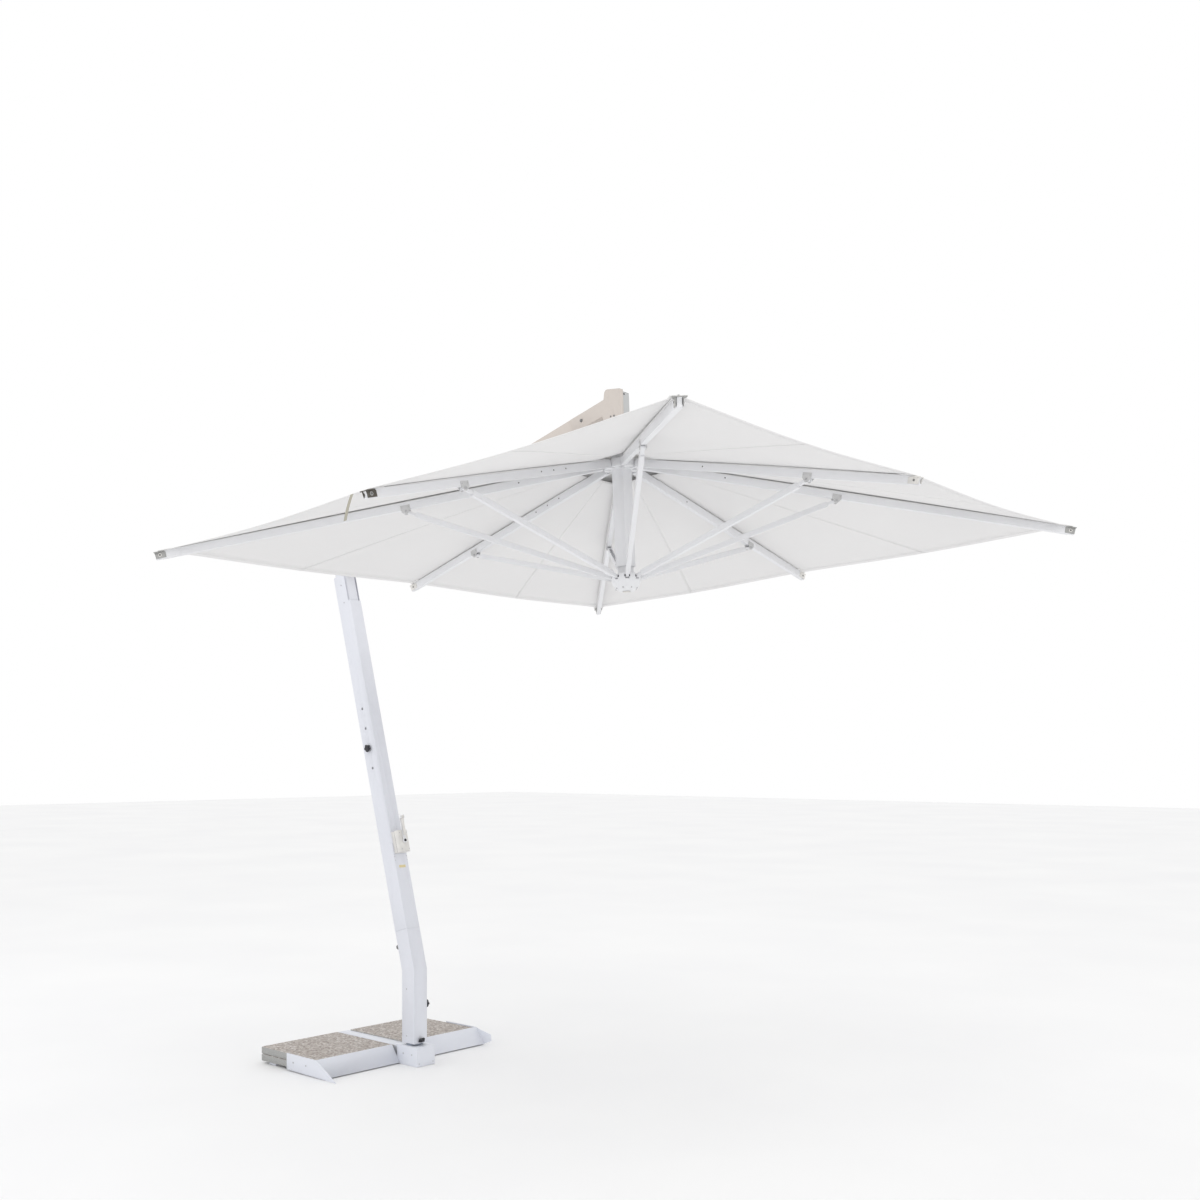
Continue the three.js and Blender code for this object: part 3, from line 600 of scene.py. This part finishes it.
def end_bracket(index):
    """The notched plate on the rib's end that holds the hem, with cheeks, washers and screws."""
    name = RIBS[index]
    _, corner, length, at = rib_facts(index)
    wide, hollow = (0.0235, 0.0125) if corner or name == "left" else (0.0165, 0.0085)
    nose = length - 0.002
    # The left rib's bracket is near black and its washers grey: painted shade for the shade inside that
    # bracket, while the same parts on other ribs are light.
    finish = BRACKET_PAINTED_SHADE if name == "left" else BRACKET if corner else CREAM
    plan = [(nose - 0.046, -wide * 0.55), (nose - 0.022, -wide), (nose, -wide), (nose, -hollow)]
    plan += arc(nose + 0.001, 0, hollow, 262, 98, 12)
    plan += [(nose, hollow), (nose, wide), (nose - 0.022, wide), (nose - 0.046, wide * 0.55)]
    plate = Build(at)
    plate.prism(plan, 0.0122, 0.0162, "z")
    cheek = [(nose - 0.050, -0.014), (nose - 0.004, -0.014), (nose - 0.001, 0.0122), (nose - 0.050, 0.0122)]
    washer, screw = Build(at), Build(at)
    for side in (-1, 1):
        near, far = sorted((side * 0.0111, side * 0.0131))
        plate.prism(cheek, near, far)
        washer.turned(disc(0.0082, 0, side * 0.0012), (length - 0.026, side * 0.0131, 0), "y", 28)
        screw_head(screw, (length - 0.026, side * 0.0143, 0), "y", 0.0045, 0.0024, side)
    plate.make(f"end_bracket_{name}", finish, f"rib_{name}", "steel", 0.0005)
    ring = BRACKET if name == "left" else CREAM
    washer.make(f"end_washer_{name}", ring, f"rib_{name}", "white_plastic", 0.0003)
    screw.make(f"end_screw_{name}", GREY, f"rib_{name}", "steel", 0)


def clevis(index):
    """The grey fork that the strut turns in, with its pin and small screws, and the rivets along the rib."""
    name = RIBS[index]
    _, corner, _, at = rib_facts(index)
    x = 0.949 if corner else 0.967
    outline = [(x - 0.022, 0.004), (x - 0.022, -0.018), *arc(x, -PIVOT_DROP, 0.0125, 200, 340, 12)]
    outline += [(x + 0.022, -0.018), (x + 0.022, 0.004)]
    fork, pin = Build(at), Build(at)
    for side in (-1, 1):
        near, far = sorted((side * 0.0112, side * 0.0130))
        fork.prism(outline, near, far)
        screw_head(pin, (x, side * 0.0130, -PIVOT_DROP), "y", 0.0058, 0.0034, side)
        for dx in (-0.015, 0.015):
            screw_head(pin, (x + dx, side * 0.0130, -0.006), "y", 0.0026, 0.0014, side)
    fork.make(f"clevis_{name}", FORK, f"rib_{name}", "steel", 0.0004)
    pin.make(f"clevis_pins_{name}", STEEL, f"rib_{name}", "steel", 0)
    rivets = Build(at)
    for side in (-1, 1):
        for along in (0.34, 0.42, 0.50) if name in ("mast_side", "left") else (0.42,):
            rivets.turned(disc(0.0034, 0, side * 0.0003), (along, side * 0.0110, 0.002), "y", 16)
    rivets.make(f"rib_rivets_{name}", GREY, f"rib_{name}", "steel", 0)


def strut_pins(index):
    """The dark pin at the strut's lower end."""
    name = RIBS[index]
    pin = Build(CANOPY @ Matrix.Rotation(rib_facts(index)[0], 4, "Z"))
    shape = [(0, 0.007), (0.0062, 0.007), (0.0062, 0.0105), (0.0045, 0.012), (0, 0.012)]
    for side in (-1, 1):
        pin.turned([(radius, side * out) for radius, out in shape], (HINGE_RADIUS, 0, -RUNNER_DROP), "y", 20)
    pin.make(f"strut_pin_{name}", BLACK, f"strut_{name}", "black_plastic", 0)


def hub_details():
    """The clamp collar that closes the cap's hole, and the rib hinges' pin heads."""
    collar = Build(CANOPY)
    rim = [(0.0475, 0.0490), (0.094, 0.0500), (0.0945, 0.0535), (0.078, 0.0600)]
    rim += [(0.060, 0.0660), (0.052, 0.0800), (0.0475, 0.0800), (0.0475, 0.0490)]
    collar.turned(rim, (0, 0, 0), "z", 64)
    collar.make("cap_collar", CREAM, "boom", "white_plastic", 0.0008)
    for index, name in enumerate(RIBS):
        pins = Build(CANOPY @ Matrix.Rotation(rib_facts(index)[0], 4, "Z"))
        pins.turned(disc(0.0036, -0.0146, 0.0146), (HINGE_RADIUS, 0, 0), "y", 20)
        pins.make(f"hinge_pin_{name}", STEEL, f"rib_{name}", "steel", 0.0004)


def runner_details():
    """The runner's bottom cap and the screws round its rim."""
    cap = Build(CANOPY)
    low = -RUNNER_DROP - 0.062
    profile = [(0, -0.0006), (0.016, -0.0006), (0.020, -0.0036), (0.014, -0.0052), (0, -0.0056)]
    cap.turned(profile, (0, 0, low), "z", 40)
    cap.make("runner_cap", CREAM, "runner", "white_plastic", 0.0004)
    screws = Build(CANOPY)
    screw = [(0, 0.004), (0.0032, 0.004), (0.0032, -0.003), (0.0020, -0.0042), (0, -0.0042)]
    for index in range(8):
        angle = math.pi / 8 + index * math.pi / 4
        spot = (0.050 * math.cos(angle), 0.050 * math.sin(angle), low + 0.0125)
        screws.turned(screw, spot, "z", 16)
    screws.make("runner_screws", STEEL, "runner", "steel", 0)


# ---------------------------------------------------------------- mast, arm and base details


def lobed(radius, height, lobes):
    """Rings of a lobed knob's head, domed towards +Y; returns vertices and faces."""
    steps = lobes * 14
    shape = [(0.90, 0.0), (0.985, 0.06), (1.0, 0.2), (1.0, 0.62), (0.975, 0.78)]
    shape += [(0.90, 0.9), (0.74, 0.965), (0.5, 0.99), (0.25, 0.94), (0.0, 0.92)]
    verts, faces = [], []
    for share, rise in shape:
        for i in range(steps):
            angle = 2 * math.pi * i / steps
            r = radius * share * (0.885 + 0.115 * math.cos(lobes * angle))
            verts.append((r * math.cos(angle), rise * height, r * math.sin(angle)))
    for ring in range(len(shape) - 1):
        for i in range(steps):
            j = (i + 1) % steps
            low, high = ring * steps, (ring + 1) * steps
            faces.append([low + i, high + i, high + j, low + j])
    faces.append(list(range(steps)))
    return verts, faces


def knob_piece(name, at, radius, body, node):
    """A lobed clamping knob, its collar and its screw; at puts its head along +Y."""
    build = Build(at)
    build.put(*lobed(radius, 0.0155, 5))
    collar = [(0, 0.0), (0.0095, 0.0), (0.0095, -0.0048), (0.0040, -0.0048), (0.0040, -0.0125), (0, -0.0125)]
    build.turned(collar, (0, 0, 0), "y", 28)
    piece = build.make(name, BLACK, body, "black_plastic", 0.0004)
    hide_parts(node)


def mast_details():
    """Both knobs, the screws of mast and foot, the rims of the height holes, and the blank plate."""
    swivel = Matrix.Translation((0.008, 0.0685, 0.310))
    knob_piece("swivel_knob_head", swivel, 0.0212, "swivel_knob", "swivel_lock_knob")
    turned = MAST @ Matrix.Translation((0, -0.0505, KNOB_AT)) @ Matrix.Rotation(math.pi, 4, "Z")
    knob_piece("height_knob_head", turned, 0.0210, "height_knob", "height_lock_knob")
    screws = Build(MAST)
    for along in (2.180, 2.077):
        for side in (-1, 1):
            screw_head(screws, (0.004, side * MAST_FACE, along), "y", 0.0042, 0.002, side)
    for along in (0.610, 0.590):
        for side in (-1, 1):
            screw_head(screws, (0.0497, side * 0.0405, along), "x", 0.0026, 0.0014)
    screws.make("mast_screws", STEEL, "mast", "steel", 0)
    rims = Build(MAST)
    shape = [(0.0050, -0.0025), (0.0062, -0.0025), (0.0066, 0.0006), (0.0050, 0.0006), (0.0050, -0.0025)]
    for n in (-1, 0, 1, 2):
        for side in (-1, 1):
            at = (0, side * MAST_FACE, KNOB_AT + n * HOLE_STEP)
            rims.turned([(radius, side * out) for radius, out in shape], at, "y", 24)
    rims.make("height_hole_rims", GREY, "mast", "black_plastic", 0)
    plate = Build(MAST)
    plate.box(0.0499, 0.0507, -0.0215, 0.0215, 0.548, 0.562)
    plate.make("blank_plate", BRASS, "mast", "steel", 0.0003)
    foot = Build()
    for z in (0.150, 0.400):
        for side in (-1, 1):
            screw_head(foot, (-0.012, side * MAST_FACE, z), "y", 0.0040, 0.002, side)
    foot.make("foot_screws", STEEL, "mast", "steel", 0)


def crank_details():
    """The dark cap on the crank's pivot, and the housing's screws and seam."""
    cap = Build(MAST)
    profile = [(0, 0.1118), (0.0072, 0.1118), (0.0072, 0.1150), (0.0050, 0.1166), (0, 0.1168)]
    cap.turned(profile, (0, 0, CRANK_AT), "x", 28)
    cap.make("crank_pivot_cap", BLACK, "crank", "black_plastic", 0)
    screws = Build(MAST)
    for z in (CRANK_AT - 0.045, CRANK_AT + 0.045):
        for y in (-0.024, 0.024):
            screw_head(screws, (0.1029, y, z), "x", 0.0030, 0.0014)
    screws.make("housing_screws", STEEL, "mast", "steel", 0)
    seam = Build(MAST)
    for side in (-1, 1):
        near, far = sorted((side * 0.0368, side * 0.0373))
        seam.box(0.0740, 0.0752, near, far, CRANK_AT - 0.058, CRANK_AT + 0.058)
    seam.make("housing_seam", GREY, "mast", "white_plastic", 0)


def head_details():
    """The head plates' bolts and screws, the pole's sleeve, and the caps of pole and mast."""
    bolts, small = Build(), Build()
    for side in (-1, 1):
        face = side * HEAD_FACE
        profile = [(0, 0), (0.0088, 0), (0.0088, side * 0.0012), (0.0070, side * 0.0016)]
        profile += [(0.0070, side * 0.0052), (0.0056, side * 0.0060), (0, side * 0.0060)]
        bolts.turned(profile, (1.243, face, 3.215), "y", 6)
        for x in (1.426, 1.446):
            screw_head(small, (x, face, 3.2027), "y", 0.0042, 0.0022, side)
    bolts.make("head_bolts", GREY, "boom", "steel", 0.0004)
    small.make("head_screws", GREY, "boom", "steel", 0)
    sleeve = Build(CANOPY)
    inner, outer = 0.0325, 0.0330
    for x0, x1, y0, y1 in (
        (-outer, outer, -outer, -inner),
        (-outer, outer, inner, outer),
        (inner, outer, -outer, outer),
        (-outer, -inner, -outer, outer),
    ):
        sleeve.box(x0, x1, y0, y1, 0.0900, 0.3338)
    sleeve.make("pole_head_sleeve", SLEEVE, "boom", "pole_aluminium", 0)
    screw = Build(CANOPY)
    screw_head(screw, (outer, -0.002, 0.3250), "x", 0.0042, 0.0020)
    screw.make("pole_head_screw", BLACK, "boom", "steel", 0)
    cap = Build(CANOPY)
    cap.box(-inner, inner, -inner, inner, 0.3342, 0.3360)
    cap.make("pole_cap", GREY, "boom", "black_plastic", 0.0006)
    lid = Build(MAST)
    lid.box(-0.0395, 0.0395, -0.0365, 0.0365, 2.3362, 2.3395)
    lid.make("mast_lid", CREAM, "boom", "white_plastic", 0.0012)


def base_details():
    """Screws on the socket box and the skirts' ends, and the pads under the frame."""
    screws = Build()
    for side in (-1, 1):
        screw_head(screws, (0.0942, side * 0.048, 0.016), "x", 0.0036, 0.002)
        for x in (-0.20, -0.31):
            screw_head(screws, (x, side * 0.5548, 0.050), "y", 0.0046, 0.0024, side)
        for x in (-0.02, 0.05):
            screw_head(screws, (x, side * 0.0612, 0.060), "y", 0.0042, 0.002, side)
    screws.make("base_screws", STEEL, "base", "steel", 0)
    pads = Build()
    profile = [(0, 0.0002), (0.016, 0.0002), (0.018, 0.0030), (0.018, 0.0110), (0, 0.0110)]
    for x in (-0.158, -0.488):
        for y in (-0.49, 0.49):
            pads.turned(profile, (x, y, 0), "z", 28)
    pads.make("base_pads", BLACK, "base", "black_plastic", 0.0004)


# ---------------------------------------------------------------- scene


def area_light(name, location, target, size, power, color):
    """A round soft light aimed at a point."""
    data = bpy.data.lights.new(name, "AREA")
    data.shape = "DISK"
    data.size = size
    data.energy = power
    data.color = color
    light = bpy.data.objects.new(name, data)
    light.location = location
    light.rotation_euler = (Vector(target) - Vector(location)).to_track_quat("-Z", "Y").to_euler()
    bpy.context.scene.collection.objects.link(light)


def studio():
    """The camera, the lights, the white surroundings and the pale floor."""
    scene = bpy.context.scene
    camera = bpy.data.objects.new("camera", bpy.data.cameras.new("camera"))
    camera.location = (5.3808, -4.5655, 1.6293)
    camera.rotation_euler = (math.pi / 2, 0, 0.7261)
    camera.data.lens = 39.18
    camera.data.sensor_width = 36
    camera.data.shift_y = 0.1319
    scene.collection.objects.link(camera)
    scene.camera = camera

    world = bpy.data.worlds.new("studio")
    world.use_nodes = True
    world.node_tree.nodes["Background"].inputs[0].default_value = (1.0, 1.0, 1.0, 1)
    world.node_tree.nodes["Background"].inputs[1].default_value = 1.0
    scene.world = world
    scene.view_settings.view_transform = "Standard"

    area_light("key", (5.0, -2.0, 7.5), (0.6, 0, 1.2), 5.0, 60, (1.0, 0.985, 0.965))
    area_light("fill", (-4.0, -6.0, 3.5), (0.4, 0, 1.4), 4.0, 40, (0.93, 0.95, 1.0))

    tree = Tree("pale_floor", roughness=0.75, **{"Specular IOR Level": 0.2})
    cloud = tree.range(tree.noise(0.6, 3.0), 0, 1, 0.3, 0.7)
    tone = tree.mix(cloud, (0.90, 0.90, 0.905, 1), (0.93, 0.93, 0.93, 1))
    floor = bpy.data.meshes.new("floor")
    half, z = 40, -0.0008
    square = [(-half, -half, z), (half, -half, z), (half, half, z), (-half, half, z)]
    floor.from_pydata(square, [], [(0, 1, 2, 3)])
    floor.materials.append(tree.finish(tone))
    ground = bpy.data.objects.new("floor", floor)
    scene.collection.objects.link(ground)


dress_cad()
for number in range(8):
    canopy_cloth(number)
    rib_pocket(number)
    end_bracket(number)
    clevis(number)
    strut_pins(number)
tie_strap()
hub_details()
runner_details()
mast_details()
crank_details()
head_details()
base_details()
studio()
